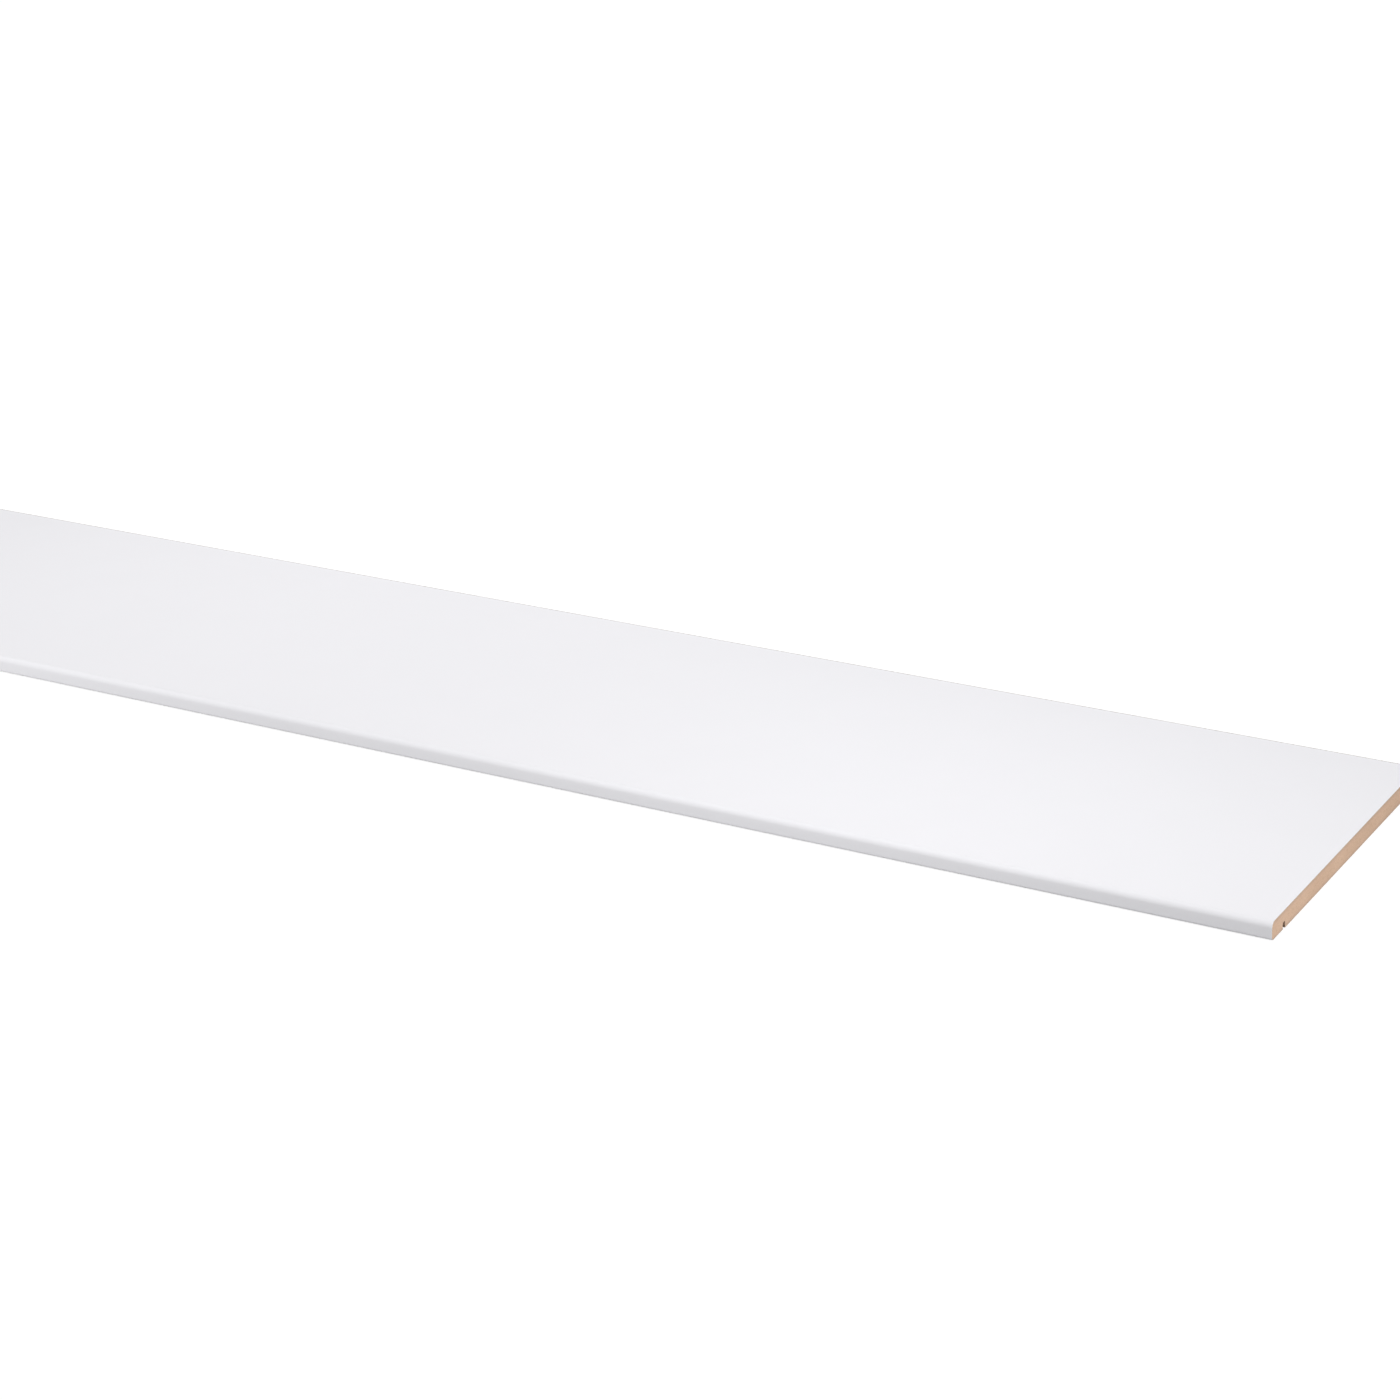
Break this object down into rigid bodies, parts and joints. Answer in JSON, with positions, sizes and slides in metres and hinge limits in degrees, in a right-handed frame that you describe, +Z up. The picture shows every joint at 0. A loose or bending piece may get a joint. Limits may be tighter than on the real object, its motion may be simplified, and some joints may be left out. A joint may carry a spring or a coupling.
{
  "type": "window sill board",
  "caption": "Flat laminated window sill board with a rounded nose along its front edge, a drip groove beneath the nose and bare sawn fibreboard ends.",
  "frame": {"origin": "middle of the plan, on the plane of the bed that the board lies on", "axes": "+X along the board, +Y from the rounded nose to the back edge that meets the window, +Z up through the laminated top"},
  "size_m": [2.6, 0.35, 0.018],
  "materials": {
    "mdf_fibre": "sawn and sanded medium-density fibreboard, bare",
    "white_laminate": "satin white decorative laminate"
  },
  "bodies": {
    "root": {"mdf_board": "mdf_fibre", "white_laminate": "white_laminate"}
  },
  "joints": []
}
